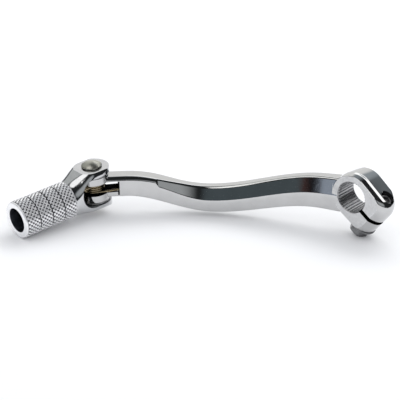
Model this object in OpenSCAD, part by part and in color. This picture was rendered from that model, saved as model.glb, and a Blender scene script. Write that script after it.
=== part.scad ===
/* [Shaft clamp] */
// Radius of the spline's crests inside the bore
crest_r = 6.75; // [6:0.05:7]
// Depth of the spline's grooves
spline_depth = 0.5; // [0.3:0.05:0.6]
// Number of spline grooves
spline_count = 32; // [24:1:36]
// Width of the clamp along the shaft
boss_w = 12.6; // [11:0.1:14]
// Radius of the clamp ring on its front face
boss_r = 9.9; // [9.5:0.1:10.5]
// How far the forged sides swell between the two faces
draft_swell = 0.8; // [0:0.1:1.2]
// Angle of the split lug below the horizontal
lug_angle = 33.5; // [20:0.5:45]
// Distance from the shaft's centre to the lug's upper side
lug_top = 8.8; // [8.4:0.1:9.4]
// Distance from the shaft's centre to the lug's lower side
lug_bottom = 9.8; // [9.4:0.1:10.2]
// Reach of the lug from the shaft's centre at its faces
lug_face_reach = 12.8; // [12:0.1:13.5]
// Reach of the lug from the shaft's centre at mid width
lug_mid_reach = 16.6; // [16.4:0.1:17]
// Width of the slit
slit_w = 2.0; // [1.5:0.1:2.5]
// Distance of the slit's middle below the shaft's centre
slit_drop = 0.8; // [0:0.1:1.2]

/* [Clamp screw] */
// Thread radius of the clamp screw
screw_r = 3; // [3:0.1:3.2]
// Distance of the screw's axis from the shaft's centre
screw_reach = 10.6; // [10.5:0.05:10.8]
// Radius of the screw's flange
flange_r = 6; // [5.5:0.1:6]
// Thickness of the screw's flange
flange_t = 1.4; // [1:0.1:2]
// Distance across the flats of the screw's hexagon
hex_flats = 8; // [7:0.5:9]
// Height of the screw's head with its flange
screw_head_h = 5.6; // [5:0.1:6]
// Length of the screw under its head
screw_length = 17.8; // [14:0.1:18]

/* [Lever arm] */
// Forward distance from the shaft to the tip's hinge
hinge_forward = 98; // [94:0.5:102]
// Outward distance from the clamp's middle to the hinge
hinge_outward = 67.8; // [64:0.2:70]
// Drop of the hinge's middle below the shaft
hinge_drop = 2.3; // [1.5:0.1:3]
// Heading of the arm at the clamp, outward from straight ahead
heading_at_clamp = 22; // [15:1:30]
// Heading of the arm at the hinge, outward from straight ahead
heading_at_hinge = 50; // [42:1:54]
// Thickness of the arm
arm_t = 9.4; // [8.5:0.1:10]
// Height of the arm at the clamp
arm_h_clamp = 15.2; // [14:0.1:16]
// Height of the arm at the hinge
arm_h_hinge = 9.6; // [9:0.1:10]
// How far the arm dips in its middle
arm_dip = 7.1; // [4:0.1:8]
// How far the arm's line starts inboard of the clamp's middle
arm_inset = 3; // [2:0.1:4]

/* [Hinge] */
// Lean of the hinge pin outward
hinge_lean = 3.75; // [0:0.25:5]
// Radius of the fork's round head
fork_r = 7.2; // [6.8:0.1:7.4]
// Height of the fork's head above the hinge's middle
fork_up = 5.95; // [5.5:0.05:6]
// Height of the fork's head below the hinge's middle
fork_down = 6.2; // [5.8:0.05:6.25]
// Height of the slot that holds the spring
slot_h = 5.2; // [5.1:0.1:5.6]
// Depth of the slot from the hinge pin
slot_reach = 11.2; // [11:0.1:14]
// Radius of the rivet's shank
rivet_r = 2.5; // [2:0.05:2.5]
// Outer radius of the sleeve that the fork turns on
sleeve_r = 3.5; // [3.3:0.05:3.6]
// Running clearance on the radius
run_gap = 0.05; // [0.02:0.01:0.08]

/* [Folding tip] */
// Heading of the tip, counted from straight back
tip_heading = -97.5; // [-105:0.5:-90]
// Half of the gap between the ears
ear_gap = 7; // [6.95:0.05:7.2]
// Thickness of each ear
ear_t = 2.4; // [2:0.1:3]
// Radius of the ears round the rivet
ear_r = 7.8; // [7.4:0.1:8]
// Radius of the grip over its knurl
grip_r = 8.45; // [8:0.05:9]
// How far the grip's axis lies below the hinge's middle
grip_drop = 1.9; // [0:0.1:2.4]
// Distance from the rivet to the start of the knurl
grip_start = 14.8; // [14.5:0.1:16]
// Distance from the rivet to the end of the grip
grip_end = 41.5; // [38:0.1:44]
// Number of knurled bands
band_count = 4; // [3:1:5]
// Depth of the hole in the grip's end
end_hole_depth = 22; // [10:0.5:24]
// Radius of the hole in the grip's end
end_hole_r = 5.45; // [4:0.05:6]

/* [Spring] */
// Diameter of the spring's wire
wire_d = 0.9; // [0.8:0.05:0.95]
// Radius of the coil to the middle of the wire
coil_r = 4.5; // [4.3:0.05:4.6]
// Whole turns of the spring, before its legs part
coil_turns = 4; // [3:1:4]

/* [Hidden] */
eps = 0.01;
far = 60;
$fn = 64;

// Clamp lug: its rounded end is a cylinder across the lug
lug_bow = lug_mid_reach - lug_face_reach;
lug_end_r = (pow(boss_w / 2, 2) + pow(lug_bow, 2)) / (2 * lug_bow);
lug_end_centre = lug_mid_reach - lug_end_r;
lug_corner_r = 4.2;
ridge_y = -2.5;
over_half = boss_w / 2 + 0.6;
function swell_at(y) =
    draft_swell * (y < ridge_y ? (boss_w / 2 + y) / (boss_w / 2 + ridge_y) : (boss_w / 2 - y) / (boss_w / 2 - ridge_y));
screw_y = 0.9;
screw_seat = -9.4;
head_gap = 0.3;
screw_hole_gap = 0.1;

// Arm: fractions of the way from the clamp to the hinge
arm_from = 0.015;
dip_from = 0.15;
dip_at = 0.56;
dip_to = 0.88;
cheek_from = 0.752;
cheek_to = 0.775;
arm_rings = 44;
corner_steps = 3;
facet_lean = 2.4;
cheek_bevel = 1.5;
bottom_draft = 0.7;
arm_z_start = -1.8;
hinge_at = [-hinge_forward, -hinge_outward];

// Hinge stack, along the pin from the hinge's middle
washer_t = 0.45;
wave_t = 0.5;
low_washer_t = 0.6;
washer_r = 7;
rivet_head_r = 4.65;
rivet_head_h = 2.35;
rivet_washer_t = 0.8;
ear_face = ear_gap + ear_t;

// Tip
slot_round = ear_gap;
head_clearance = 0.4;
leg_inset = 1.1;
slot_floor = 11.2;
band_groove_w = 1.2;
band_groove_depth = 0.8;
grip_rim = 1;
band_pitch = (grip_end - grip_rim - grip_start + band_groove_w) / band_count;

function lerp(a, b, t) = a + (b - a) * t;
function clamp01(t) = min(1, max(0, t));
function smooth(from, to, u) =
    let (t = clamp01((u - from) / (to - from)))
    t * t * (3 - 2 * t);
function bump(u) =
    u < dip_at
        ? (1 - cos(180 * clamp01((u - dip_from) / (dip_at - dip_from)))) / 2
        : (1 + cos(180 * clamp01((u - dip_at) / (dip_to - dip_at)))) / 2;

// Plan of the arm: a cubic curve from the clamp to the hinge
arm_span = norm(hinge_at);
pull_start = -arm_span * [cos(heading_at_clamp), sin(heading_at_clamp)];
pull_end = -arm_span * [cos(heading_at_hinge), sin(heading_at_hinge)];
function plan_at(u) =
    (2 * u * u * u - 3 * u * u + 1) * [0, arm_inset]
    + (u * u * u - 2 * u * u + u) * pull_start
    + (3 * u * u - 2 * u * u * u) * hinge_at
    + (u * u * u - u * u) * pull_end;
function plan_slope(u) =
    (6 * u * u - 6 * u) * [0, arm_inset]
    + (3 * u * u - 4 * u + 1) * pull_start
    + (6 * u - 6 * u * u) * hinge_at
    + (3 * u * u - 2 * u) * pull_end;
function plan_side(u) =
    let (s = plan_slope(u) / norm(plan_slope(u)))
    [-s[1], s[0]];
function arm_z(u) = lerp(arm_z_start, -hinge_drop, smooth(0.1, 0.9, u)) - arm_dip * bump(u);
function arm_h(u) = lerp(arm_h_clamp, arm_h_hinge, clamp01((u - 0.1) / 0.76));

// Section of the arm: two leaning facets over a crease on each side
function crease_v(u) =
    lerp(-0.2 + 1.8 * smooth(0.58, cheek_from, u), arm_h(u) / 2 - cheek_bevel, smooth(cheek_from, cheek_to, u));
function ridge_w(u) = arm_t / 2 - lerp(facet_lean, cheek_bevel, smooth(cheek_from, cheek_to, u));
function arm_corners(u) =
    let (t = arm_t / 2, h = arm_h(u) / 2, c = crease_v(u), r = ridge_w(u))
    [[r, h], [t, c], [t - bottom_draft, -h], [bottom_draft - t, -h], [-t, c], [-r, h]];
function soften(p, q, r, cut) =
    let (a = q + (p - q) * min(0.45, cut / norm(p - q)), b = q + (r - q) * min(0.45, cut / norm(r - q)))
    [for (k = [0:corner_steps]) let (t = k / corner_steps) (1 - t) * (1 - t) * a + 2 * t * (1 - t) * q + t * t * b];
function arm_ring(u) =
    let (c = arm_corners(u), n = len(c), at = plan_at(u), side = plan_side(u), z = arm_z(u))
    [for (i = [0:n - 1])
        for (p = soften(c[(i + n - 1) % n], c[i], c[(i + 1) % n], 1.1))
            [at[0] - side[0] * p[0], at[1] - side[1] * p[0], z + p[1]]];

// Faces of a tube made of rings, each with the same number of points
function tube_faces(rings, n) = concat(
    [for (j = [1:n - 2]) [0, j, j + 1]],
    [for (j = [1:n - 2]) [(rings - 1) * n, (rings - 1) * n + j + 1, (rings - 1) * n + j]],
    [for (i = [0:rings - 2], j = [0:n - 1])
        [i * n + j, (i + 1) * n + j, (i + 1) * n + (j + 1) % n]],
    [for (i = [0:rings - 2], j = [0:n - 1])
        [i * n + j, (i + 1) * n + (j + 1) % n, i * n + (j + 1) % n]]);

module along_shaft(from, to, r1, r2) {
    translate([0, from, 0]) rotate([-90, 0, 0]) cylinder(h = to - from, r1 = r1, r2 = r2);
}
// Frame of the clamp's lug: x along the slit, y along the shaft, z across the slit
module in_lug() {
    rotate([0, lug_angle, 0]) children();
}
// Frame of the hinge: z along the rivet
module at_hinge(heading = 0) {
    translate([hinge_at[0], hinge_at[1], -hinge_drop])
        rotate([hinge_lean, 0, 0])
            rotate([0, 0, heading]) children();
}

module lug_outline() {
    reach = lug_mid_reach - lug_corner_r;
    low = -lug_bottom - draft_swell;
    high = lug_top + draft_swell;
    translate([0, low]) square([reach, high - low]);
    translate([0, low + lug_corner_r]) square([lug_mid_reach, high - low - 2 * lug_corner_r]);
    for (z = [low + lug_corner_r, high - lug_corner_r])
        translate([reach, z]) circle(lug_corner_r);
}

module lug_block() {
    stations = [-over_half, ridge_y, over_half];
    top = [for (y = stations) [y, lug_top + swell_at(y)]];
    bottom = [for (i = [2:-1:0]) [stations[i], -lug_bottom - swell_at(stations[i])]];
    intersection() {
        rotate([90, 0, 90]) linear_extrude(height = lug_mid_reach) polygon(concat(top, bottom));
        rotate([90, 0, 0]) linear_extrude(height = 2 * over_half, center = true) lug_outline();
        union() {
            translate([-far, -far, -far]) cube([far + lug_end_centre, 2 * far, 2 * far]);
            translate([lug_end_centre, 0, -far]) cylinder(h = 2 * far, r = lug_end_r);
        }
    }
}

module boss() {
    intersection() {
        union() {
            along_shaft(-over_half, ridge_y, boss_r + swell_at(-over_half), boss_r + draft_swell);
            along_shaft(ridge_y, over_half, boss_r + draft_swell, boss_r + swell_at(over_half));
            in_lug() lug_block();
        }
        translate([-far, -boss_w / 2, -far]) cube([2 * far, boss_w, 2 * far]);
    }
}

module spline_outline() {
    pitch = 360 / spline_count;
    root_r = crest_r + spline_depth;
    circle(crest_r);
    for (i = [0:spline_count - 1])
        rotate(i * pitch)
            polygon([[crest_r - 0.3, -0.36], [root_r, -0.18], [root_r, 0.18], [crest_r - 0.3, 0.36]]);
}

module spline_cut() {
    rotate([90, 0, 0]) linear_extrude(height = 2 * boss_w, center = true) spline_outline();
    along_shaft(boss_w / 2 - 0.6, boss_w / 2 + 1, crest_r, crest_r + 1.6);
    along_shaft(-boss_w / 2 - 1, 0.6 - boss_w / 2, crest_r + 1.6, crest_r);
}

module clamp_cuts() {
    spline_cut();
    in_lug() {
        translate([0, -far, -slit_drop - slit_w / 2]) cube([far, 2 * far, slit_w]);
        translate([screw_reach, screw_y, -slit_drop]) cylinder(h = far, r = screw_r);
        translate([screw_reach, screw_y, -far]) cylinder(h = far, r = screw_r + screw_hole_gap);
        translate([screw_reach, screw_y, screw_seat - far]) cylinder(h = far, r = flange_r + head_gap);
        translate([screw_reach, screw_y, lug_top - 0.2]) cylinder(h = 1.4, r1 = screw_r, r2 = screw_r + 1.4);
    }
}

module arm_bar() {
    us = [for (i = [0:arm_rings - 1]) lerp(arm_from, 1, i / (arm_rings - 1))];
    rings = [for (u = us) arm_ring(u)];
    polyhedron([for (r = rings, p = r) p], tube_faces(len(rings), len(rings[0])));
}

module fork_head() {
    bevel = 0.5;
    at_hinge() {
        translate([0, 0, -fork_down]) cylinder(h = bevel, r1 = fork_r - bevel, r2 = fork_r);
        translate([0, 0, bevel - fork_down]) cylinder(h = fork_up + fork_down - 2 * bevel, r = fork_r);
        translate([0, 0, fork_up - bevel]) cylinder(h = bevel, r1 = fork_r, r2 = fork_r - bevel);
    }
}

module fork_cuts() {
    at_hinge(heading_at_hinge) {
        translate([-far / 2, -far / 2, -slot_h / 2]) cube([far / 2 + slot_reach, far, slot_h]);
        translate([0, 0, -far / 2]) cylinder(h = far, r = sleeve_r + run_gap);
        // Hole that holds the spring's leg in the end of the slot
        translate([slot_reach - 1, leg_inset - coil_r, spring_low()]) rotate([0, 90, 0]) cylinder(h = 4, r = 0.7);
    }
}

module lever_arm() {
    color("silver")
        difference() {
            union() {
                boss();
                arm_bar();
                fork_head();
            }
            clamp_cuts();
            fork_cuts();
        }
}

module clamp_screw() {
    color("dimgray")
        in_lug()
            translate([screw_reach, screw_y, screw_seat]) {
                cylinder(h = screw_length, r = screw_r - run_gap);
                translate([0, 0, -flange_t]) cylinder(h = flange_t, r1 = flange_r - 0.6, r2 = flange_r);
                translate([0, 0, -screw_head_h]) cylinder(h = screw_head_h, r = hex_flats / sqrt(3), $fn = 6);
            }
}

// Tip's frame: x along the grip and z along the rivet
module ears() {
    intersection() {
        union() {
            translate([0, 0, -ear_face]) cylinder(h = 2 * ear_face, r = ear_r);
            translate([0, -ear_r, -ear_face]) cube([grip_start, 2 * ear_r, 2 * ear_face]);
        }
        union() {
            translate([-far, -far, -far]) cube([far + 5, 2 * far, 2 * far]);
            translate([0, 0, -grip_drop]) rotate([0, 90, 0])
                translate([0, 0, 5 - eps]) cylinder(h = grip_start - 5 + eps, r1 = ear_face + grip_drop + 2.6, r2 = grip_r - 0.5);
        }
    }
}

module grip() {
    translate([0, 0, -grip_drop])
        rotate([0, 90, 0]) {
            translate([0, 0, slot_floor - 1]) cylinder(h = grip_end - slot_floor, r = grip_r - band_groove_depth);
            for (i = [0:band_count - 1])
                translate([0, 0, grip_start + i * band_pitch])
                    cylinder(h = band_pitch - band_groove_w, r = grip_r);
            translate([0, 0, grip_end - grip_rim - eps]) cylinder(h = grip_rim + eps, r1 = grip_r, r2 = grip_r - 0.8);
        }
}

module ear_gap_cut() {
    centre = slot_floor - slot_round;
    translate([centre - far, -far, -ear_gap]) cube([far, 2 * far, 2 * ear_gap]);
    translate([centre, 0, 0]) rotate([90, 0, 0]) cylinder(h = 2 * far, r = slot_round, center = true);
    translate([0, 0, -ear_gap]) cylinder(h = 2 * ear_gap, r = fork_r + head_clearance);
}

module folding_tip() {
    color("gainsboro")
        at_hinge(tip_heading)
            difference() {
                union() {
                    ears();
                    grip();
                }
                ear_gap_cut();
                translate([0, 0, -far]) cylinder(h = 2 * far, r = rivet_r);
                translate([grip_end - end_hole_depth, 0, -grip_drop]) rotate([0, 90, 0])
                    cylinder(h = far, r = end_hole_r);
                translate([grip_end - 0.6, 0, -grip_drop]) rotate([0, 90, 0])
                    cylinder(h = 0.6 + eps, r1 = end_hole_r, r2 = end_hole_r + 0.6);
                // Hole that holds the spring's other leg
                translate([slot_floor - 2, coil_r, spring_high()]) rotate([0, 90, 0]) cylinder(h = 4, r = 0.7);
            }
}

module rivet_dome(r, h) {
    ball = (r * r + h * h) / (2 * h);
    intersection() {
        translate([0, 0, h - ball]) sphere(ball);
        cylinder(h = h, r = r);
    }
}

module hinge_rivet() {
    color("darkkhaki")
        at_hinge() {
            translate([0, 0, ear_face]) rivet_dome(rivet_head_r, rivet_head_h);
            translate([0, 0, -ear_face - rivet_washer_t]) cylinder(h = 2 * ear_face + rivet_washer_t, r = rivet_r);
            translate([0, 0, -ear_face - rivet_washer_t]) mirror([0, 0, 1]) rivet_dome(3.6, 1.2);
        }
}

module hinge_sleeve() {
    color("goldenrod")
        at_hinge()
            translate([0, 0, eps - ear_gap])
                difference() {
                    cylinder(h = 2 * ear_gap - 2 * eps, r = sleeve_r);
                    translate([0, 0, -1]) cylinder(h = 2 * ear_gap + 2, r = rivet_r + run_gap);
                }
}

module ring_washer(low, t, r, hole) {
    at_hinge()
        translate([0, 0, low])
            difference() {
                cylinder(h = t, r = r);
                translate([0, 0, -1]) cylinder(h = t + 2, r = hole);
            }
}

module upper_washer() {
    color("lightgray") ring_washer(fork_up + 0.02, washer_t, washer_r, sleeve_r + run_gap);
}

module wave_washer() {
    color("dimgray") ring_washer(ear_gap - 0.02 - wave_t, wave_t, washer_r - 0.4, sleeve_r + run_gap);
}

module lower_washer() {
    color("lightgray") ring_washer(-fork_down - 0.05 - low_washer_t, low_washer_t, washer_r, sleeve_r + run_gap);
}

module rivet_washer() {
    color("lightgray") ring_washer(-ear_face - rivet_washer_t, rivet_washer_t, 4.6, rivet_r);
}

// Spring: leg to the fork, coil round the sleeve, leg to the tip
function coil_pitch() = wire_d + 0.08;
function coil_sweep() = 360 * coil_turns + heading_at_hinge - 180 - tip_heading;
function spring_low() = -coil_pitch() * coil_sweep() / 720;
function spring_high() = -spring_low();
function polar(r, a, z) = [r * cos(a), r * sin(a), z];

module return_spring() {
    first = heading_at_hinge - 90;
    steps = 96;
    sides = 8;
    reach = slot_floor + 1;
    leg_in = [cos(heading_at_hinge), sin(heading_at_hinge), 0];
    leg_out = [cos(tip_heading), sin(tip_heading), 0];
    coil = [for (i = [0:steps]) polar(coil_r, first - coil_sweep() * i / steps, lerp(spring_low(), spring_high(), i / steps))];
    inward = [-leg_in[1], leg_in[0], 0] * leg_inset;
    path = concat([coil[0] + leg_in * (slot_reach + 1.5) + inward], coil, [coil[steps] + leg_out * reach]);
    n = len(path);
    rings = [for (i = [0:n - 1])
        let (t = path[min(n - 1, i + 1)] - path[max(0, i - 1)],
             z = [0, 0, 1] - t * t[2] / (t * t),
             up = z / norm(z),
             side = cross(t / norm(t), up))
        [for (j = [0:sides - 1]) path[i] + wire_d / 2 * (cos(360 * j / sides) * side + sin(360 * j / sides) * up)]];
    color("goldenrod")
        at_hinge()
            polyhedron([for (r = rings, p = r) p], tube_faces(n, sides));
}

lever_arm();
clamp_screw();
folding_tip();
hinge_rivet();
hinge_sleeve();
wave_washer();
upper_washer();
lower_washer();
rivet_washer();
return_spring();
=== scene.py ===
import math
import bmesh
import bpy
import numpy as np
from mathutils import Matrix, Vector

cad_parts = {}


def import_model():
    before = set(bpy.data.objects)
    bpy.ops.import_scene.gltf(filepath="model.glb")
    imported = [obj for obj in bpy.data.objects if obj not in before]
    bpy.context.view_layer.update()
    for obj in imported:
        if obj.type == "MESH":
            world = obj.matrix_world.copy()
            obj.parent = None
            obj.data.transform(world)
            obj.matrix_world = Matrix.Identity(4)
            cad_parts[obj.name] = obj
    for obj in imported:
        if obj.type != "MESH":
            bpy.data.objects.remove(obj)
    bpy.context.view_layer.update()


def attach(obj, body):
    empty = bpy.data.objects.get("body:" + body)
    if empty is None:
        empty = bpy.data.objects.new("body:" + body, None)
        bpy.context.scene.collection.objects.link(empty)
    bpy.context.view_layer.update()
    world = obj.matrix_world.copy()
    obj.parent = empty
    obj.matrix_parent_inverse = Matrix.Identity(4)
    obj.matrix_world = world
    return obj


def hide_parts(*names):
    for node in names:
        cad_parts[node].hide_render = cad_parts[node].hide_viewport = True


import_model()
MM = 0.001

# Sizes in mm. They are the CAD's, but for the lug's faces and corner, the swell of the clamp and the arm's flare
CREST_R, SPLINE_DEPTH, SPLINE_COUNT = 6.75, 0.5, 32
HALF_W, BOSS_R, SWELL, RIDGE_Y = 6.3, 9.9, 0.7, -3.2
LUG_ANGLE, LUG_TOP, LUG_BOTTOM, LUG_TAPER, LUG_LOW_TAPER = 35.0, 9.87, 9.8, 2.9, 0.8
RIDGE_SOFT, EDGE_SOFT = 0.09, 0.1
LUG_FACE_REACH, LUG_MID_REACH, LUG_CORNER, LUG_CORNER_TOP = 12.8, 16.6, 4.2, 5.6
SLIT_W, SLIT_DROP = 2.0, 0.8
SCREW_R, SCREW_REACH, SCREW_Y, SCREW_SEAT, SCREW_LENGTH = 3.0, 10.6, 0.9, -9.4, 17.8
FLANGE_R, FLANGE_T, HEX_FLATS, SCREW_HEAD_H, HEAD_GAP = 6.0, 1.4, 8.0, 5.6, 0.3
HINGE = Vector((-98.0, -67.8, -2.3))
HINGE_LEAN, HEAD_CLAMP, HEAD_HINGE, TIP_HEADING = 3.75, 22.0, 50.0, -97.5
ARM_T, ARM_H_CLAMP, ARM_H_HINGE, ARM_DIP, ARM_INSET, ARM_Z_START = 9.4, 15.2, 9.6, 7.1, 3.0, -1.8
FORK_R, FORK_UP, FORK_DOWN, SLOT_H, SLOT_REACH = 7.2, 5.95, 6.2, 5.2, 11.2
RIVET_R, SLEEVE_R, RUN_GAP = 2.5, 3.5, 0.05
EAR_GAP, EAR_T, EAR_R = 7.0, 2.4, 7.8
GRIP_R, GRIP_DROP, GRIP_START, GRIP_END, BANDS = 8.45, 1.9, 14.8, 41.5, 4
END_HOLE_R, END_HOLE_DEPTH, SLOT_FLOOR = 5.45, 22.0, 11.2
WIRE_D, COIL_R, COIL_TURNS, LEG_INSET = 0.9, 4.5, 4, 1.1
HOLE_MOUTH, THREAD_PITCH, THREAD_DEPTH, LEG_HOLE_R = 9.5, 1.0, 0.42, 0.7
THIN = 0.02  # a face this near to a cut's wall belongs to the cut


def rot(angle, axis):
    return Matrix.Rotation(math.radians(angle), 4, axis)


HINGE_M = Matrix.Translation(HINGE) @ rot(HINGE_LEAN, "X")
ARM_END_M = HINGE_M @ rot(HEAD_HINGE, "Z")
TIP_M = HINGE_M @ rot(TIP_HEADING, "Z")
GRIP_M = TIP_M @ Matrix.Translation((0, 0, -GRIP_DROP)) @ rot(90, "Y")
LUG_M = rot(LUG_ANGLE, "Y")
SHAFT_M = rot(-90, "X")


# ---------------------------------------------------------------- mesh tools

def piece(name, verts, faces, matrix=None):
    """A mesh object from points in mm, in the frame of matrix."""
    m = matrix or Matrix.Identity(4)
    mesh = bpy.data.meshes.new(name)
    mesh.from_pydata([(m @ Vector(v)) * MM for v in verts], [], faces)
    bm = bmesh.new()
    bm.from_mesh(mesh)
    bmesh.ops.recalc_face_normals(bm, faces=bm.faces)
    bm.to_mesh(mesh)
    bm.free()
    obj = bpy.data.objects.new(name, mesh)
    bpy.context.scene.collection.objects.link(obj)
    return obj


def skin(rings, closed_path=False):
    """Quads over rings that all have the same number of points, with the ends closed."""
    n, count = len(rings[0]), len(rings)
    verts = [p for r in rings for p in r]
    last = count if closed_path else count - 1
    faces = []
    for i in range(last):
        a, b = i * n, ((i + 1) % count) * n
        faces += [(a + j, a + (j + 1) % n, b + (j + 1) % n, b + j) for j in range(n)]
    if not closed_path:
        faces += [tuple(range(n))[::-1], tuple(range((count - 1) * n, count * n))]
    return verts, faces


def lathe(name, profile, matrix, sides=96):
    """A turned piece: profile is [(radius, height)], about the frame's z."""
    turn = [2 * math.pi * j / sides for j in range(sides)]
    rings = [[(max(r, 1e-3) * math.cos(t), max(r, 1e-3) * math.sin(t), s) for t in turn] for r, s in profile]
    verts, faces = skin(rings)
    return piece(name, verts, faces, matrix)


def box(name, low, high, matrix):
    """A block between two corners, used to cut slots."""
    xs, ys, zs = zip(low, high)
    rings = [[(x, ys[0], zs[0]), (x, ys[1], zs[0]), (x, ys[1], zs[1]), (x, ys[0], zs[1])] for x in xs]
    verts, faces = skin(rings)
    return piece(name, verts, faces, matrix)


def prism(name, outline, low, high, matrix):
    """An outline [(x, y)] drawn out along the frame's z."""
    verts, faces = skin([[(x, y, z) for x, y in outline] for z in (low, high)])
    return piece(name, verts, faces, matrix)


def settle(obj):
    """Applies the object's modifiers to its mesh."""
    graph = bpy.context.evaluated_depsgraph_get()
    made = bpy.data.meshes.new_from_object(obj.evaluated_get(graph))
    old = obj.data
    obj.modifiers.clear()
    obj.data = made
    bpy.data.meshes.remove(old)


def combine(obj, other, how):
    """An exact boolean with other, which is used up."""
    mod = obj.modifiers.new("boolean", "BOOLEAN")
    mod.operation, mod.object, mod.solver = how, other, "EXACT"
    settle(obj)
    bpy.data.objects.remove(other)


def join(obj, other):
    combine(obj, other, "UNION")


def cut(obj, other):
    combine(obj, other, "DIFFERENCE")


def meet(obj, other):
    combine(obj, other, "INTERSECT")


def round_edges(obj, width, angle, segments):
    """Rounds the edges that are sharper than angle."""
    mod = obj.modifiers.new("bevel", "BEVEL")
    mod.width, mod.segments, mod.limit_method = width * MM, segments, "ANGLE"
    mod.angle_limit = math.radians(angle)
    mod.use_clamp_overlap = True
    mod.miter_outer = "MITER_ARC"
    settle(obj)


def clean(obj, gap=0.004):
    """Merges points nearer than gap and drops faces with no area."""
    bm = bmesh.new()
    bm.from_mesh(obj.data)
    bmesh.ops.remove_doubles(bm, verts=bm.verts, dist=gap * MM)
    bmesh.ops.dissolve_degenerate(bm, edges=bm.edges, dist=gap * MM)
    bm.to_mesh(obj.data)
    bm.free()


def shade(obj, angle):
    """Smooth shading with the flats kept flat."""
    obj.data.shade_smooth()
    obj.data.set_sharp_from_angle(angle=math.radians(angle))
    mod = obj.modifiers.new("flats", "WEIGHTED_NORMAL")
    mod.keep_sharp, mod.weight = True, 80


def paint(obj, *materials):
    obj.data.materials.clear()
    for m in materials:
        obj.data.materials.append(m)


def faces_where(obj, index, test):
    """Gives a material index to faces whose centre (mm) and normal pass the test."""
    for f in obj.data.polygons:
        if test(f.center / MM, f.normal):
            f.material_index = index


# ---------------------------------------------------------------- materials

def material(name, metallic, colour, rough):
    mat = bpy.data.materials.new(name)
    mat.use_nodes = True
    tree = mat.node_tree
    shader = tree.nodes["Principled BSDF"]
    shader.inputs["Metallic"].default_value = metallic
    shader.inputs["Base Color"].default_value = (*colour, 1)
    shader.inputs["Roughness"].default_value = rough
    return mat, tree, shader


def node(tree, kind, **inputs):
    n = tree.nodes.new(kind)
    for key, value in inputs.items():
        n.inputs[key.replace("_", " ")].default_value = value
    return n


def metal(name, dark, light, rough, spread, grain, relief, relief_scale, metallic=1.0, edge=(1.0, 1.0, 1.0)):
    """A metal with cloudy colour, uneven gloss and a fine surface relief. edge tints its grazing reflection."""
    mat, tree, shader = material(name, metallic, light, rough)
    shader.inputs["Specular Tint"].default_value = (*edge, 1)
    coord = tree.nodes.new("ShaderNodeTexCoord")
    cloud = node(tree, "ShaderNodeTexNoise", Scale=grain, Detail=6.0, Roughness=0.6)
    tree.links.new(coord.outputs["Object"], cloud.inputs["Vector"])
    tint = tree.nodes.new("ShaderNodeValToRGB")
    for stop, place, colour in zip(tint.color_ramp.elements, (0.3, 0.7), (dark, light)):
        stop.position, stop.color = place, (*colour, 1)
    tree.links.new(cloud.outputs["Fac"], tint.inputs["Fac"])
    tree.links.new(tint.outputs["Color"], shader.inputs["Base Color"])
    gloss = tree.nodes.new("ShaderNodeMapRange")
    gloss.inputs["To Min"].default_value = max(0.01, rough - spread)
    gloss.inputs["To Max"].default_value = rough + spread
    fine = node(tree, "ShaderNodeTexNoise", Scale=grain * 7, Detail=4.0, Roughness=0.55)
    tree.links.new(coord.outputs["Object"], fine.inputs["Vector"])
    tree.links.new(fine.outputs["Fac"], gloss.inputs["Value"])
    tree.links.new(gloss.outputs["Result"], shader.inputs["Roughness"])
    bumps = node(tree, "ShaderNodeTexNoise", Scale=relief_scale, Detail=3.0, Roughness=0.5)
    tree.links.new(coord.outputs["Object"], bumps.inputs["Vector"])
    bump = node(tree, "ShaderNodeBump", Strength=relief, Distance=0.0002)
    tree.links.new(bumps.outputs["Fac"], bump.inputs["Height"])
    tree.links.new(bump.outputs["Normal"], shader.inputs["Normal"])
    return mat


POLISHED = metal("polished_forging", (0.54, 0.54, 0.54), (0.59, 0.59, 0.59), 0.07, 0.03, 160, 0.06, 260)
MACHINED = metal("machined_face", (0.62, 0.62, 0.625), (0.74, 0.74, 0.74), 0.42, 0.08, 700, 0.5, 2600)
# Near black with no grazing reflection: painted shade for the spring slot, the slit and the screw hole
RECESS_SHADE = metal("recess_painted_shade", (0.008, 0.008, 0.009), (0.032, 0.032, 0.034), 0.36, 0.1, 500, 0.6, 1800,
                  edge=(0.0, 0.0, 0.0))
BROACHED = metal("broached_spline", (0.3, 0.3, 0.31), (0.52, 0.52, 0.53), 0.33, 0.1, 900, 0.4, 2400)
TURNED = metal("turned_grip", (0.56, 0.565, 0.58), (0.63, 0.63, 0.64), 0.11, 0.05, 300, 0.12, 900)
KNURLED = metal("knurled_grip", (0.86, 0.86, 0.88), (0.95, 0.95, 0.96), 0.2, 0.06, 300, 0.15, 900,
                metallic=0.6)
# Painted shadow for the knurl's pits and the band grooves
GROOVE_SHADE = metal("groove_shadow", (0.03, 0.03, 0.036), (0.08, 0.08, 0.09), 0.35, 0.08, 300, 0.3, 1500)
# Painted shade for the inside of the grip's deep end hole
END_HOLE_SHADE = metal("end_hole_painted_shade", (0.05, 0.055, 0.07), (0.1, 0.11, 0.13), 0.4, 0.1, 300, 0.5, 1200)
RIVET = metal("dull_nickel", (0.4, 0.395, 0.345), (0.52, 0.51, 0.46), 0.34, 0.08, 420, 0.12, 1600)
STEEL = metal("washer_steel", (0.42, 0.42, 0.43), (0.62, 0.62, 0.62), 0.28, 0.08, 500, 0.3, 1800)
DARK_STEEL = metal("screw_steel", (0.17, 0.17, 0.175), (0.3, 0.3, 0.305), 0.36, 0.1, 500, 0.35, 1500)
WIRE = metal("spring_wire", (0.3, 0.235, 0.14), (0.5, 0.41, 0.27), 0.26, 0.08, 500, 0.2, 1500)
BRONZE = metal("sleeve_bronze", (0.16, 0.12, 0.07), (0.3, 0.23, 0.14), 0.35, 0.1, 400, 0.3, 1500)


# ---------------------------------------------------------------- the arm

def lerp(a, b, t):
    return a + (b - a) * t


def smooth(low, high, u):
    t = min(1.0, max(0.0, (u - low) / (high - low)))
    return t * t * (3 - 2 * t)


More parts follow.
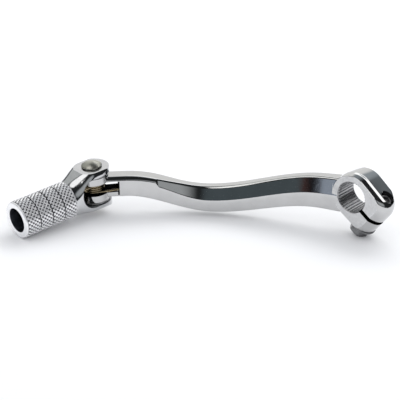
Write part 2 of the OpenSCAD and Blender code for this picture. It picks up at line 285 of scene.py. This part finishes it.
CHEEK, CHEEK_END, RIDGE_FROM = 0.752, 0.768, 0.66
FACET_LEAN, CHEEK_BEVEL, BOTTOM_DRAFT = 2.4, 1.3, 0.7
CREASE_Z, CREASE_RISE, CREASE_FROM = -0.2, 1.8, 0.58
CORNER_CUTS = (0.95, 0.7, 0.9, 0.9, 0.8, 0.95)
DIP_FROM, DIP_AT, DIP_TO = 0.15, 0.56, 0.88
FLARE_FROM, FLARE_R, FLARE_TOP = 31.0, 175.0, 1.25
SPAN = math.hypot(HINGE.x, HINGE.y)
PULL_0 = Vector((math.cos(math.radians(HEAD_CLAMP)), math.sin(math.radians(HEAD_CLAMP)))) * -SPAN
PULL_1 = Vector((math.cos(math.radians(HEAD_HINGE)), math.sin(math.radians(HEAD_HINGE)))) * -SPAN
START, END = Vector((0, ARM_INSET)), Vector((HINGE.x, HINGE.y))


def plan(u):
    """The arm's middle line seen from above, from the shaft at 0 to the hinge at 1."""
    return ((2 * u**3 - 3 * u**2 + 1) * START + (u**3 - 2 * u**2 + u) * PULL_0
            + (3 * u**2 - 2 * u**3) * END + (u**3 - u**2) * PULL_1)


def plan_side(u):
    s = ((6 * u**2 - 6 * u) * START + (3 * u**2 - 4 * u + 1) * PULL_0
         + (6 * u - 6 * u**2) * END + (3 * u**2 - 2 * u) * PULL_1).normalized()
    return Vector((-s.y, s.x))


def dip(u):
    """How far the arm has sunk at u, from 0 to 1."""
    if u < DIP_AT:
        return (1 - math.cos(math.pi * min(1, max(0, (u - DIP_FROM) / (DIP_AT - DIP_FROM))))) / 2
    return (1 + math.cos(math.pi * min(1, max(0, (u - DIP_AT) / (DIP_TO - DIP_AT))))) / 2


def arm_z(u):
    return lerp(ARM_Z_START, HINGE.z, smooth(0.1, 0.9, u)) - ARM_DIP * dip(u)


def arm_h(u):
    return lerp(ARM_H_CLAMP, ARM_H_HINGE, min(1, max(0, (u - 0.1) / 0.76)))


def arc_corner(p, q, r, cut_len, steps):
    """A rounded corner at q, between p and r."""
    a = q + (p - q).normalized() * min(cut_len, 0.45 * (p - q).length)
    b = q + (r - q).normalized() * min(cut_len, 0.45 * (r - q).length)
    out = []
    for k in range(steps + 1):
        t = k / steps
        out.append((1 - t) ** 2 * a + 2 * t * (1 - t) * q + t * t * b)
    return out


def arm_ring(u):
    """A section of the arm at u: two leaning facets, and an outer side that runs out where it meets the clamp."""
    t, h = ARM_T / 2, arm_h(u) / 2
    jump = smooth(CHEEK, CHEEK_END, u)
    crease = lerp(CREASE_Z + CREASE_RISE * smooth(CREASE_FROM, CHEEK, u), h - CHEEK_BEVEL, jump)
    ridge = t - lerp(FACET_LEAN, CHEEK_BEVEL, smooth(RIDGE_FROM, CHEEK_END, u))
    foot = t - BOTTOM_DRAFT
    corners = [Vector(c) for c in ((ridge, h), (t, crease), (foot, -h), (-foot, -h), (-t, crease), (-ridge, h))]
    n = len(corners)
    at, side, z = plan(u), plan_side(u), arm_z(u)
    flare = min(FLARE_TOP, max(0.0, FLARE_FROM - u * SPAN) ** 2 / (2 * FLARE_R))
    ring = []
    for i in range(n):
        for p in arc_corner(corners[i - 1], corners[i], corners[(i + 1) % n], CORNER_CUTS[i], 6):
            out = p.x - (flare if p.x < 0 else 0)
            ring.append((at.x - side.x * out, at.y - side.y * out, z + p.y))
    return ring


def arm_stations():
    """Where the arm's sections stand, closer together where the facets end."""
    us = list(np.linspace(0.03, CHEEK - 0.004, 110)) + list(np.linspace(CHEEK, CHEEK_END, 9))
    return us + list(np.linspace(CHEEK_END + 0.004, 1.0, 36))


def swell_at(y):
    """How far the flank stands out at y: a ridge, falling straight to the front and in a curve to the back."""
    if y < RIDGE_Y:
        lift = SWELL * (HALF_W + y) / (HALF_W + RIDGE_Y)
    else:
        lift = SWELL * (1 - ((y - RIDGE_Y) / (HALF_W - RIDGE_Y)) ** 1.7)
    return lift - RIDGE_SOFT * math.exp(-((y - RIDGE_Y) / 0.45) ** 2)


def arc(cx, cy, r, a0, a1, steps):
    """Points on a circle from angle a0 to a1."""
    return [(cx + r * math.cos(math.radians(lerp(a0, a1, k / steps))),
             cy + r * math.sin(math.radians(lerp(a0, a1, k / steps)))) for k in range(steps + 1)]


def clamp_outline(lift, reach):
    """Ring and lug seen along the shaft, in the lug's frame: arcs joined by straight tangents."""
    up, down = math.radians(LUG_TAPER), math.radians(LUG_LOW_TAPER)
    x, z = reach - LUG_CORNER_TOP, LUG_TOP + SWELL - LUG_CORNER_TOP
    high = (x * math.cos(up) + z * math.sin(up), z * math.cos(up) - x * math.sin(up))
    x, z = reach - LUG_CORNER, LUG_BOTTOM + SWELL - LUG_CORNER
    low = (x * math.cos(down) + z * math.sin(down), x * math.sin(down) - z * math.cos(down))
    more = lift - SWELL
    stops = [arc(0, 0, BOSS_R + lift, 90 - LUG_TAPER, 270 + LUG_LOW_TAPER, 72),
             arc(*low, LUG_CORNER + more, 270 + LUG_LOW_TAPER, 360, 18),
             arc(*high, LUG_CORNER_TOP + more, 0, 90 - LUG_TAPER, 18)]
    out = []
    for i, run in enumerate(stops):
        out += run
        a, b = Vector(run[-1]), Vector(stops[(i + 1) % 3][0])
        out += [tuple(a.lerp(b, k / 8)) for k in range(1, 8)]
    return out


def clamp_body():
    """Ring and lug drawn over the clamp's width, with the lug's end bowed."""
    bow = LUG_MID_REACH - LUG_FACE_REACH
    r = (HALF_W**2 + bow**2) / (2 * bow)
    near = [RIDGE_Y + d * 0.15 for d in range(-8, 9)]
    ys = near + [0.12 - HALF_W, 0.5 - HALF_W, 0.9 - HALF_W, 1.4 - HALF_W, HALF_W - 0.12]
    ys += list(np.arange(-1.5, HALF_W - 0.3, 0.45)) + [-HALF_W, HALF_W]
    rings = []
    for y in sorted(float(y) for y in ys):
        edge = EDGE_SOFT if abs(y) == HALF_W else 0.0
        reach = LUG_MID_REACH - r + math.sqrt(r * r - y * y)
        rings.append([(x, y, z) for x, z in clamp_outline(swell_at(y) - edge, reach)])
    verts, faces = skin(rings)
    return piece("clamp", verts, faces, LUG_M)


def spline_outline():
    """The bore: a circle of crests with grooves between them."""
    wide, narrow, floor_r = 3.4, 1.5, CREST_R + SPLINE_DEPTH
    points = []
    for i in range(SPLINE_COUNT):
        mid = i * 360 / SPLINE_COUNT
        for r, a in ((CREST_R, -wide), (floor_r, -narrow), (floor_r, narrow), (CREST_R, wide)):
            points.append((r * math.cos(math.radians(mid + a)), r * math.sin(math.radians(mid + a))))
    return points


def thread_profile(r, low, high):
    """The side of a threaded hole, as rings of V grooves."""
    out, s = [], low
    while s < high - 1e-6:
        out += [(r, s), (r + THREAD_DEPTH, s + THREAD_PITCH * 0.5)]
        s += THREAD_PITCH
    return out + [(r, high)]


def lever_arm():
    """The forging: clamp, arm and fork head joined, then bored, slit and slotted."""
    body = clamp_body()
    verts, faces = skin([arm_ring(float(u)) for u in arm_stations()])
    arm = piece("arm", verts, faces)
    join(body, arm)
    edge, nip = 0.45, 0.13
    head = [(FORK_R - edge, -FORK_DOWN), (FORK_R - nip, -FORK_DOWN + nip), (FORK_R, -FORK_DOWN + edge),
            (FORK_R, FORK_UP - edge), (FORK_R - nip, FORK_UP - nip), (FORK_R - edge, FORK_UP)]
    join(body, lathe("head", head, HINGE_M, sides=128))
    # Bore, slit and screw hole
    cut(body, prism("spline", spline_outline(), -10, 10, SHAFT_M))
    for sign in (-1, 1):
        cone = [(CREST_R - 0.4, sign * (HALF_W - 1.0)), (CREST_R + 1.6, sign * (HALF_W + 1.0))]
        cut(body, lathe("mouth", cone, SHAFT_M, sides=96))
    cut(body, box("slit", (0, -20, -SLIT_DROP - SLIT_W / 2), (30, 20, -SLIT_DROP + SLIT_W / 2), LUG_M))
    at = LUG_M @ Matrix.Translation((SCREW_REACH, SCREW_Y, 0))
    hole = [(FLANGE_R + HEAD_GAP, -20), (FLANGE_R + HEAD_GAP, SCREW_SEAT), (SCREW_R + 0.1, SCREW_SEAT + 0.01),
            (SCREW_R + 0.1, -SLIT_DROP)]
    cut(body, lathe("screw_clear", hole, at, sides=64))
    thread = [(SCREW_R, -SLIT_DROP - 0.5)] + thread_profile(SCREW_R - 0.05, 0.5, HOLE_MOUTH - 0.4)
    thread += [(SCREW_R + 0.05, HOLE_MOUTH), (SCREW_R + 1.3, HOLE_MOUTH + 1.3)]
    cut(body, lathe("screw_thread", thread, at, sides=64))
    # Slot for the spring, pin hole and leg hole
    cut(body, box("spring_slot", (-30, -30, -SLOT_H / 2), (SLOT_REACH, 30, SLOT_H / 2), ARM_END_M))
    cut(body, lathe("pin_hole", [(SLEEVE_R + RUN_GAP, -20), (SLEEVE_R + RUN_GAP, 20)], HINGE_M, sides=96))
    leg = ARM_END_M @ Matrix.Translation((SLOT_REACH - 1, LEG_INSET - COIL_R, SPRING_LOW)) @ rot(90, "Y")
    cut(body, lathe("leg_hole", [(LEG_HOLE_R, 0), (LEG_HOLE_R, 4)], leg, sides=24))
    clean(body)
    shade(body, 28)
    paint(body, POLISHED, MACHINED, RECESS_SHADE, BROACHED)
    lug_inverse, end_inverse = LUG_M.inverted(), ARM_END_M.inverted()
    lug_turn = lug_inverse.to_3x3().normalized()
    faces_where(body, 1, lambda c, n: abs(n.y) > 0.995 and abs(abs(c.y) - HALF_W) < THIN)

    def in_bore(c, n):
        return math.hypot(c.x, c.z) < CREST_R + SPLINE_DEPTH + 0.15 and abs(c.y) < HALF_W and abs(n.y) < 0.9

    def in_slot(c, n):
        p = end_inverse @ c
        return abs(p.z) < SLOT_H / 2 + THIN and p.x < SLOT_REACH + THIN and math.hypot(p.x, p.y) < 20

    def in_slit(c, n):
        p = lug_inverse @ c
        return abs(p.z + SLIT_DROP) < SLIT_W / 2 + THIN and p.x > CREST_R

    def in_screw_hole(c, n):
        p = lug_inverse @ c
        near = math.hypot(p.x - SCREW_REACH, p.y - SCREW_Y) < SCREW_R + 0.4
        return p.z > 0 and near and (lug_turn @ n).z < 0.9

    # The spring slot, the slit and the walls of the screw hole get the painted shade
    faces_where(body, 2, lambda c, n: in_slot(c, n) or in_slit(c, n) or in_screw_hole(c, n))
    faces_where(body, 3, in_bore)
    body.name = "lever_forging"
    return body


# ---------------------------------------------------------------- the spring

COIL_PITCH = WIRE_D + 0.08
COIL_SWEEP = 360 * COIL_TURNS + HEAD_HINGE - 180 - TIP_HEADING
SPRING_LOW = -COIL_PITCH * COIL_SWEEP / 720


def tube(name, path, r, sides, matrix):
    """A round wire along a path of points."""
    rings = []
    for i, p in enumerate(path):
        t = (path[min(i + 1, len(path) - 1)] - path[max(i - 1, 0)]).normalized()
        up = (Vector((0, 0, 1)) - t * t.z).normalized()
        side = t.cross(up)
        rings.append([tuple(p + r * (math.cos(a) * side + math.sin(a) * up))
                      for a in (2 * math.pi * k / sides for k in range(sides))])
    verts, faces = skin(rings)
    return piece(name, verts, faces, matrix)


def return_spring():
    """Four turns round the sleeve, one leg in the arm and the other in the tip."""
    first = math.radians(HEAD_HINGE - 90)
    sweep = math.radians(COIL_SWEEP)
    steps = 260
    inward = Vector((-math.sin(math.radians(HEAD_HINGE)), math.cos(math.radians(HEAD_HINGE)), 0))
    leg_in = Vector((math.cos(math.radians(HEAD_HINGE)), math.sin(math.radians(HEAD_HINGE)), 0))
    leg_out = Vector((math.cos(math.radians(TIP_HEADING)), math.sin(math.radians(TIP_HEADING)), 0))
    coil = [Vector((COIL_R * math.cos(first - sweep * k / steps), COIL_R * math.sin(first - sweep * k / steps),
                    lerp(SPRING_LOW, -SPRING_LOW, k / steps))) for k in range(steps + 1)]
    far_in = coil[0] + leg_in * (SLOT_REACH + 1.5) + inward * LEG_INSET
    far_out = coil[-1] + leg_out * (SLOT_FLOOR + 1)
    path = [far_in.lerp(coil[0], t) for t in np.linspace(0, 0.95, 12)] + coil
    path += [coil[-1].lerp(far_out, t) for t in np.linspace(0.05, 1, 12)]
    obj = tube("torsion_spring", path, WIRE_D / 2, 14, HINGE_M)
    shade(obj, 60)
    paint(obj, WIRE)
    return obj


# ---------------------------------------------------------------- the tip

KNURL_COUNT, KNURL_LEAD, KNURL_DEPTH, KNURL_SLOPE, PIT_SHARE = 27, 2.0, 0.5, 6.0, 0.27
BAND_DEPTH, BAND_SLOPE, RIM_DEPTH, RIM_SLOPE = 0.75, 1.6, 0.55, 2.4


def knurl_cell(turn, s):
    """How far a place on the grip is from the nearest groove of each of the two crossing sets."""
    a, b = turn * KNURL_COUNT / (2 * math.pi), s / KNURL_LEAD
    p, q = (a + b) % 1.0, (a - b) % 1.0
    return min(p, 1 - p), min(q, 1 - q)


def knurl_height(turn, s):
    """Height of the diamond knurl, 0 in its grooves and 1 on its points."""
    return min(1.0, KNURL_SLOPE * min(knurl_cell(turn, s)))


def knurl_low(turn, s):
    """True in the pits where the grooves cross."""
    return max(knurl_cell(turn, s)) < PIT_SHARE


def band_depth(s):
    """How deep the surface lies under the knurl's points, along the grip."""
    pitch = (GRIP_END - 1.0 - GRIP_START) / BANDS
    grooves = [BAND_DEPTH - abs(s - GRIP_START - i * pitch) * BAND_SLOPE for i in range(1, BANDS)]
    return max(0.0, RIM_DEPTH - abs(s - GRIP_END + 1.05) * RIM_SLOPE, *grooves)


def grip():
    """The knurled bands, the plain rim and the deep hole in one turned mesh."""
    sides, step = 420, 0.135
    rings = []
    stations = list(np.arange(GRIP_START - 3.6, GRIP_END - 0.9, step))
    for s in stations:
        flat = band_depth(s)
        fade = min(1.0, max(0.0, (s - GRIP_START) / 0.35))
        ring = []
        for j in range(sides):
            t = 2 * math.pi * j / sides
            k = knurl_height(t, s) if fade > 0 else 0.0
            r = GRIP_R - 0.06 - max(flat, KNURL_DEPTH * ((1 - k) * fade + 1 - fade))
            ring.append((r * math.cos(t), r * math.sin(t), s))
        rings.append(ring)
    turn = [2 * math.pi * j / sides for j in range(sides)]
    tail = [(GRIP_R - 0.32, GRIP_END - 0.8), (GRIP_R - 0.28, GRIP_END - 0.65), (GRIP_R - 0.34, GRIP_END - 0.3),
            (GRIP_R - 0.5, GRIP_END - 0.1), (GRIP_R - 0.75, GRIP_END), (END_HOLE_R + 0.5, GRIP_END),
            (END_HOLE_R + 0.15, GRIP_END - 0.12), (END_HOLE_R, GRIP_END - 0.5),
            (END_HOLE_R, GRIP_END - END_HOLE_DEPTH), (0.4, GRIP_END - END_HOLE_DEPTH - 2.4)]
    for r, s in tail:
        rings.append([(r * math.cos(t), r * math.sin(t), s) for t in turn])
    verts, faces = skin(rings)
    obj = piece("knurled_grip", verts, faces, GRIP_M)
    inverse = GRIP_M.inverted()
    obj.data.shade_smooth()
    obj.data.set_sharp_from_angle(angle=math.radians(30))
    paint(obj, KNURLED, END_HOLE_SHADE, GROOVE_SHADE)
    # The knurl's pits and the deep parts of the band grooves get the painted shadow
    flanks = len(stations)
    for f in obj.data.polygons:
        i, j = divmod(min(f.vertices), sides)
        if i < flanks and len(f.vertices) == 4:
            t, s = 2 * math.pi * (j + 0.5) / sides, stations[i] + step / 2
            if s > GRIP_START + 0.3 and (knurl_low(t, s) or band_depth(s) > 0.45):
                f.material_index = 2

    def in_end_hole(c, n):
        p = inverse @ c
        return math.hypot(p.x, p.y) < END_HOLE_R + 0.1 and GRIP_START + 0.2 < p.z < GRIP_END - 0.2

    # The walls of the deep end hole get the painted shade
    faces_where(obj, 1, in_end_hole)
    return obj


def fork_ring(s):
    """A section across the tip at s: square-shouldered at the ears and round at the grip."""
    neck = GRIP_R - 0.35
    fall = smooth(2.0, GRIP_START + 3.0, s) / smooth(2.0, GRIP_START + 3.0, GRIP_START)
    waist = smooth(4.0, GRIP_START, s)
    high, low, wide = lerp(neck + 4.8, neck, fall), lerp(8.6, neck, waist), lerp(EAR_R, neck, waist)
    corner = lerp(4.2, neck, smooth(3.0, GRIP_START, s))
    ring = []
    for cy, cz, start in ((wide, high, 0), (-wide, high, 90), (-wide, -low, 180), (wide, -low, 270)):
        r = min(corner, abs(cy), abs(cz))
        y, z = math.copysign(abs(cy) - r, cy), math.copysign(abs(cz) - r, cz)
        ring += [(s, py, pz - GRIP_DROP) for py, pz in arc(y, z, r, start, start + 90, 24)]
    return ring


def tip_fork():
    """The tip's two ears with the round-floored gap between them."""
    top = EAR_GAP + EAR_T
    stations = [-9.0, 0.0] + [0.4 * k for k in range(1, 37)] + [GRIP_START + 0.05]
    rings = [fork_ring(float(s)) for s in stations]
    shrink = [(GRIP_START + 0.4, y * 0.9, (z + GRIP_DROP) * 0.9 - GRIP_DROP) for _, y, z in rings[-1]]
    verts, faces = skin(rings + [shrink])
    obj = piece("tip_fork", verts, faces, TIP_M)
    end, side = GRIP_START + 2, EAR_R + 1
    outline = arc(0, 0, EAR_R, 90, 270, 64) + [(0.0, -side), (end, -side), (end, side), (0.0, side)]
    meet(obj, prism("ear_outline", outline, -top, top, TIP_M))
    clean(obj)
    round_edges(obj, 1.0, 62, 3)
    centre = SLOT_FLOOR - EAR_GAP
    gap = [(-20.0, -EAR_GAP)] + arc(centre, 0, EAR_GAP, -90, 90, 48) + [(-20.0, EAR_GAP)]
    cut(obj, prism("ear_gap", gap, -20, 20, TIP_M @ rot(90, "X")))
    cut(obj, lathe("head_room", [(FORK_R + 0.4, -EAR_GAP), (FORK_R + 0.4, EAR_GAP)], TIP_M, sides=96))
    cut(obj, lathe("rivet_hole", [(RIVET_R, -20), (RIVET_R, 20)], TIP_M, sides=64))
    leg = TIP_M @ Matrix.Translation((SLOT_FLOOR - 2, COIL_R, -SPRING_LOW)) @ rot(90, "Y")
    cut(obj, lathe("leg_hole", [(LEG_HOLE_R, 0), (LEG_HOLE_R, 4)], leg, sides=24))
    clean(obj)
    shade(obj, 30)
    paint(obj, TURNED)
    return obj


# ---------------------------------------------------------------- small parts

def dome(r, h, steps=12):
    """Profile of a ball's cap of radius r and height h, from its rim to its top."""
    ball = (r * r + h * h) / (2 * h)
    out = []
    for k in range(steps + 1):
        a = math.asin(r / ball) * (1 - k / steps)
        out.append((ball * math.sin(a), h - ball + ball * math.cos(a)))
    return out


def hinge_rivet():
    """A domed head over the upper ear, the shank and the turned-over lower end."""
    top, rim = EAR_GAP + EAR_T, 0.8
    profile = [(r, -top - rim - s) for r, s in reversed(dome(3.5, 1.1))]
    profile += [(RIVET_R, -top - rim), (RIVET_R, top), (4.3, top + 0.02), (4.62, top + 0.2), (4.65, top + 0.7)]
    profile += [(r, top + rim + s) for r, s in dome(4.6, 1.55)]
    obj = lathe("domed_rivet", profile, HINGE_M, sides=96)
    shade(obj, 40)
    paint(obj, RIVET)
    return obj


def ring_part(name, low, high, outer, inner, mat, edge=0.12, wave=0.0):
    """A washer or sleeve between two heights about the rivet, with broken edges and three waves if asked."""
    sides = 120
    profile = [(inner, low + edge), (inner + edge, low), (outer - edge, low), (outer, low + edge),
               (outer, high - edge), (outer - edge, high), (inner + edge, high), (inner, high - edge)]
    rings = []
    for r, s in profile:
        rings.append([(r * math.cos(2 * math.pi * j / sides), r * math.sin(2 * math.pi * j / sides),
                       s + wave * math.cos(3 * 2 * math.pi * j / sides)) for j in range(sides)])
    verts, faces = skin(rings, closed_path=True)
    obj = piece(name, verts, faces, HINGE_M)
    shade(obj, 40)
    paint(obj, mat)
    return obj


def clamp_screw():
    """A flanged hexagon screw, its thread cut as a true helix."""
    at = LUG_M @ Matrix.Translation((SCREW_REACH, SCREW_Y, SCREW_SEAT))
    corner = HEX_FLATS / math.sqrt(3)
    hexagon = [(corner * math.cos(math.radians(60 * k)), corner * math.sin(math.radians(60 * k))) for k in range(6)]
    obj = prism("pinch_screw", hexagon, -SCREW_HEAD_H, -0.3, at)
    low = -SCREW_HEAD_H
    crown = [(0.01, low), (corner - 0.75, low), (corner + 0.1, low + 0.55), (corner + 0.1, 0)]
    meet(obj, lathe("crown", crown, at, sides=96))
    flange = [(corner - 0.6, -2.3), (corner + 0.1, -1.75), (FLANGE_R - 0.5, -FLANGE_T + 0.1),
              (FLANGE_R - 0.1, -FLANGE_T + 0.5), (FLANGE_R, -FLANGE_T + 0.8), (FLANGE_R, -0.15),
              (FLANGE_R - 0.2, 0.0)]
    join(obj, lathe("flange", flange, at, sides=96))
    cut(obj, lathe("dish", [(2.6, low - 0.5), (2.6, low + 0.3), (2.2, low + 0.4)], at, sides=64))
    turns, fine, rise = [], 48, 0.125
    for k in range(int(SCREW_LENGTH / rise) + 1):
        ring = []
        for j in range(fine):
            t = 2 * math.pi * j / fine
            phase = (k * rise / THREAD_PITCH - j / fine) % 1.0
            groove = THREAD_DEPTH * (1 - abs(phase - 0.5) * 2) * min(1.0, max(0.0, (k * rise - 5.0) / 0.6))
            r = SCREW_R - RUN_GAP - groove
            ring.append((r * math.cos(t), r * math.sin(t), k * rise - 0.02))
        turns.append(ring)
    verts, faces = skin(turns)
    join(obj, piece("shank", verts, faces, at))
    tail = [(1.6, SCREW_LENGTH - 1.2), (1.7, SCREW_LENGTH - 0.2), (2.0, SCREW_LENGTH + 0.2)]
    cut(obj, lathe("dimple", tail, at, sides=48))
    end = [(0.01, -20), (8.0, -20), (8.0, SCREW_LENGTH - 3.0), (2.2, SCREW_LENGTH + 0.02), (0.01, SCREW_LENGTH + 0.02)]
    meet(obj, lathe("end_cone", end, at, sides=64))
    clean(obj, 0.002)
    shade(obj, 30)
    paint(obj, DARK_STEEL)
    return obj


# ---------------------------------------------------------------- put together

def put(obj, body, node_name):
    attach(obj, body)
    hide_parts(node_name)


LOW_RING, TOP_RING, EAR_TOP = -FORK_DOWN - 0.05, FORK_UP + 0.02, EAR_GAP + EAR_T
SLEEVE_HOLE = SLEEVE_R + RUN_GAP
put(lever_arm(), "lever", "lever_arm")
put(clamp_screw(), "lever", "clamp_screw")
put(return_spring(), "lever", "return_spring")
put(ring_part("flat_washer_top", TOP_RING, TOP_RING + 0.45, 7.0, SLEEVE_HOLE, STEEL),
    "lever", "upper_washer")
put(ring_part("flat_washer_low", LOW_RING - 0.6, LOW_RING, 7.0, SLEEVE_HOLE, STEEL),
    "lever", "lower_washer")
put(ring_part("waved_washer", EAR_GAP - 0.45, EAR_GAP - 0.09, 6.6, SLEEVE_HOLE, DARK_STEEL, 0.08, 0.06),
    "tip", "wave_washer")
put(tip_fork(), "tip", "folding_tip")
put(grip(), "tip", "folding_tip")
put(hinge_rivet(), "tip", "hinge_rivet")
put(ring_part("rivet_washer_low", -EAR_TOP - 0.8, -EAR_TOP, 4.6, RIVET_R, STEEL),
    "tip", "rivet_washer")
put(ring_part("bronze_sleeve", -EAR_GAP + 0.01, EAR_GAP - 0.01, SLEEVE_R, RIVET_R + RUN_GAP, BRONZE, 0.25),
    "tip", "hinge_sleeve")


# ---------------------------------------------------------------- room, light and camera

def floor():
    """A pale table, tipped a little so that the grip's end and the screw's head touch it."""
    grip_low = GRIP_M @ Vector((GRIP_R - 0.06, 0, GRIP_END - 1.0))
    head_low = LUG_M @ Vector((SCREW_REACH + HEX_FLATS / 2 - 0.4, SCREW_Y, SCREW_SEAT - SCREW_HEAD_H))
    along = (head_low - grip_low).normalized()
    across = along.cross(Vector((0, 0, 1))).normalized()
    mid = (grip_low + head_low) / 2
    size, n = 3000.0, 24
    steps = [lerp(-size, size, k / n) for k in range(n + 1)]
    verts = [tuple(mid + along * x + across * y) for x in steps for y in steps]
    row = n + 1
    corners = [i * row + j for i in range(n) for j in range(n)]
    faces = [(c, c + row, c + row + 1, c + 1) for c in corners]
    obj = piece("table", verts, faces)
    mat, tree, shader = material("pale_table", 0.0, (0.9, 0.9, 0.9), 0.9)
    shader.inputs["Specular IOR Level"].default_value = 0.0
    paint(obj, mat)


def area_light(name, at, aim, size, power):
    """A soft light that casts the shadows, but isn't mirrored."""
    light = bpy.data.lights.new(name, "AREA")
    light.shape, light.size, light.size_y = "RECTANGLE", size[0] * MM, size[1] * MM
    light.energy = power
    obj = bpy.data.objects.new(name, light)
    obj.location = Vector(at) * MM
    obj.rotation_euler = ((Vector(aim) - Vector(at)).to_track_quat("-Z", "Y")).to_euler()
    obj.visible_glossy = False
    bpy.context.scene.collection.objects.link(obj)


def part_of_sky(tree, source, inner, outer):
    """1 where an angle's cosine passes inner degrees, falling to 0 at outer degrees."""
    step = tree.nodes.new("ShaderNodeMapRange")
    step.interpolation_type = "SMOOTHSTEP"
    step.inputs["From Min"].default_value = math.cos(math.radians(outer))
    step.inputs["From Max"].default_value = math.cos(math.radians(inner))
    tree.links.new(source, step.inputs["Value"])
    return step.outputs["Result"]


def dot(tree, coord, direction):
    n = tree.nodes.new("ShaderNodeVectorMath")
    n.operation = "DOT_PRODUCT"
    n.inputs[1].default_value = Vector(direction).normalized()
    tree.links.new(coord.outputs["Generated"], n.inputs[0])
    return n.outputs["Value"]


def towards(azimuth, height):
    a, h = math.radians(azimuth), math.radians(height)
    return (math.cos(a) * math.cos(h), math.sin(a) * math.cos(h), math.sin(h))


def layer(tree, below, colour, factor):
    """A colour laid over below, which is a plain colour or an output, as far as factor says."""
    mix = tree.nodes.new("ShaderNodeMix")
    mix.data_type = "RGBA"
    if isinstance(below, tuple):
        mix.inputs["A"].default_value = (*below, 1)
    else:
        tree.links.new(below, mix.inputs["A"])
    mix.inputs["B"].default_value = (*colour, 1)
    tree.links.new(factor, mix.inputs["Factor"])
    return mix.outputs["Result"]


def maths(tree, operation, a, b):
    n = tree.nodes.new("ShaderNodeMath")
    n.operation = operation
    for socket, value in zip(n.inputs, (a, b)):
        if isinstance(value, float):
            socket.default_value = value
        else:
            tree.links.new(value, socket)
    return n.outputs[0]


DARK_ROOM, FILL, WHITE = (0.022, 0.024, 0.025), (0.945, 0.96, 0.995), (1.0, 1.0, 1.0)
# What the metal mirrors: direction, the angles where the patch ends and its colour
PATCHES = [
    (towards(-65, 11), 11, 19, (0.085, 0.105, 0.115)),
    (towards(-98, 8), 21.2, 22.4, (0.075, 0.035, 0.03)),
    (towards(-98, 8), 20.0, 21.2, (0.008, 0.008, 0.009)),
    (towards(-98, 8), 17.2, 19.0, (0.36, 0.41, 0.49)),
    (towards(-115, 66), 16, 22, (1.5, 1.5, 1.48)),
    (towards(172, 38), 18, 30, (0.6, 0.62, 0.61)),
    (towards(-72, 44), 9, 12, (1.8, 1.8, 1.78)),
    (towards(-20, 22), 10, 26, (0.45, 0.47, 0.48)),
    (towards(105, 38), 8, 34, (0.4, 0.44, 0.47)),
    (towards(133, 20), 16, 30, (0.98, 0.98, 0.97)),
]
# The long light: the normal of the plane that it lies in, its middle, its half sizes in degrees and its colour
STRIP_NORMAL, STRIP_MIDDLE = (-0.134, -0.70, 0.70), (0.0, 0.707, 0.707)
STRIP_HALF_WIDTH, STRIP_HALF_LENGTH, STRIP_TONE = 4, 31, (1.9, 1.9, 1.9)
CAMERA_AT, CAMERA_AIM, CAMERA_ANGLE = (246.1, -386.0, 212.0), (-51.8, -47.3, -2.8), 20


def world():
    """A dark studio with pale and dark walls, two soft boxes and a long light, as the metal mirrors it.
    Diffuse light comes evenly from all round, and past the table the camera sees plain white."""
    w = bpy.data.worlds.new("studio")
    bpy.context.scene.world = w
    w.use_nodes = True
    tree = w.node_tree
    coord = tree.nodes.new("ShaderNodeTexCoord")
    rays = tree.nodes.new("ShaderNodeLightPath")
    colour = DARK_ROOM
    for direction, inner, outer, tone in PATCHES:
        colour = layer(tree, colour, tone, part_of_sky(tree, dot(tree, coord, direction), inner, outer))
    away = dot(tree, coord, STRIP_NORMAL)
    beside = maths(tree, "SUBTRACT", 1.0, maths(tree, "MULTIPLY", away, away))
    width = part_of_sky(tree, maths(tree, "SQRT", beside, 0.0), STRIP_HALF_WIDTH, STRIP_HALF_WIDTH + 2.5)
    length = part_of_sky(tree, dot(tree, coord, STRIP_MIDDLE), STRIP_HALF_LENGTH, STRIP_HALF_LENGTH + 9)
    colour = layer(tree, colour, STRIP_TONE, maths(tree, "MULTIPLY", width, length))
    colour = layer(tree, colour, FILL, rays.outputs["Is Diffuse Ray"])
    colour = layer(tree, colour, WHITE, rays.outputs["Is Camera Ray"])
    tree.links.new(colour, tree.nodes["Background"].inputs["Color"])


def camera():
    at, aim = Vector(CAMERA_AT), Vector(CAMERA_AIM)
    cam = bpy.data.cameras.new("camera")
    cam.sensor_fit, cam.angle = "HORIZONTAL", math.radians(CAMERA_ANGLE)
    cam.clip_start = 0.01
    obj = bpy.data.objects.new("camera", cam)
    obj.location = at * MM
    obj.rotation_euler = (aim - at).to_track_quat("-Z", "Y").to_euler()
    bpy.context.scene.collection.objects.link(obj)
    bpy.context.scene.camera = obj


floor()
world()
area_light("softbox", (-150, 250, 430), (-50, -40, 0), (620, 260), 1.0)
camera()
bpy.context.scene.view_settings.view_transform = "Standard"
